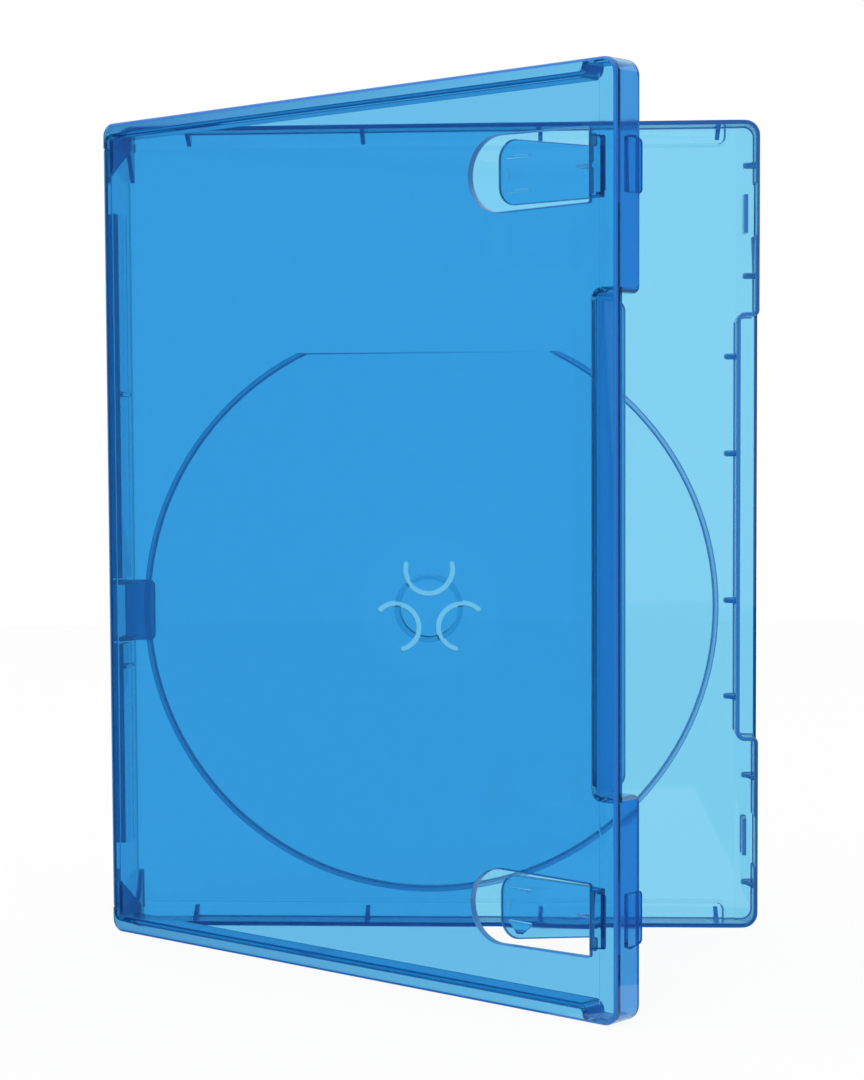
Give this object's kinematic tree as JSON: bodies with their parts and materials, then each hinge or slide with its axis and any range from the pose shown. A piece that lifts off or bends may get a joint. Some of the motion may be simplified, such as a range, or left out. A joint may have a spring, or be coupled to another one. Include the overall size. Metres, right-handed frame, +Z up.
{
  "type": "game disc case",
  "caption": "Empty keep case for a game disc, in clear blue plastic: cover and tray hinge on a narrow spine; disc hub, booklet clips, thumb notch and latch tongues",
  "frame": {"origin": "middle of the tray's foot edge, on the surface that the case stands on", "axes": "+Z up the case, +X along the tray from the spine to the opening edge, +Y out of the tray's back, so the inside of the tray faces -Y"},
  "size_m": [0.1376, 0.098, 0.171],
  "materials": {
    "clear_blue_plastic": "clear blue polypropylene, smooth and glossy"
  },
  "bodies": {
    "tray": {"rear_tray": "clear_blue_plastic"},
    "spine": {"spine": "clear_blue_plastic"},
    "cover": {"front_cover": "clear_blue_plastic"}
  },
  "joints": [
    {"name": "tray_hinge", "type": "hinge", "parent": "tray", "child": "spine", "pos_m": [-0.0668, 0.00315, 0.0855], "axis": [0, 0, -1], "range_deg": [-12.4, 77.6]},
    {"name": "cover_hinge", "type": "hinge", "parent": "spine", "child": "cover", "pos_m": [-0.06966, -0.00984, 0.0855], "axis": [0, 0, -1], "range_deg": [-26.7, 63.3]}
  ]
}
